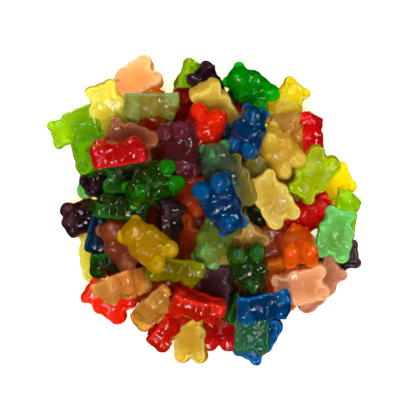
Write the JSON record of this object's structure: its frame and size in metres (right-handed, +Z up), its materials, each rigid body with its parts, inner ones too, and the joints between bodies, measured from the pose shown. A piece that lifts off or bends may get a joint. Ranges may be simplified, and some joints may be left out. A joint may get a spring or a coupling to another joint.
{
  "type": "heap of gummy bears",
  "caption": "Loose heap of small bear-shaped fruit gels in many colours, piled on a flat surface.",
  "frame": {"origin": "middle of the heap's flat underside", "axes": "+Z up, +Y away from the viewer at the heap's far edge, +X to the right"},
  "size_m": [0.1114, 0.1102, 0.0398],
  "materials": {
    "mixed_fruit_gel": "glossy translucent fruit gel"
  },
  "bodies": {
    "root": {"gummy_bear_heap": "mixed_fruit_gel"}
  },
  "joints": []
}
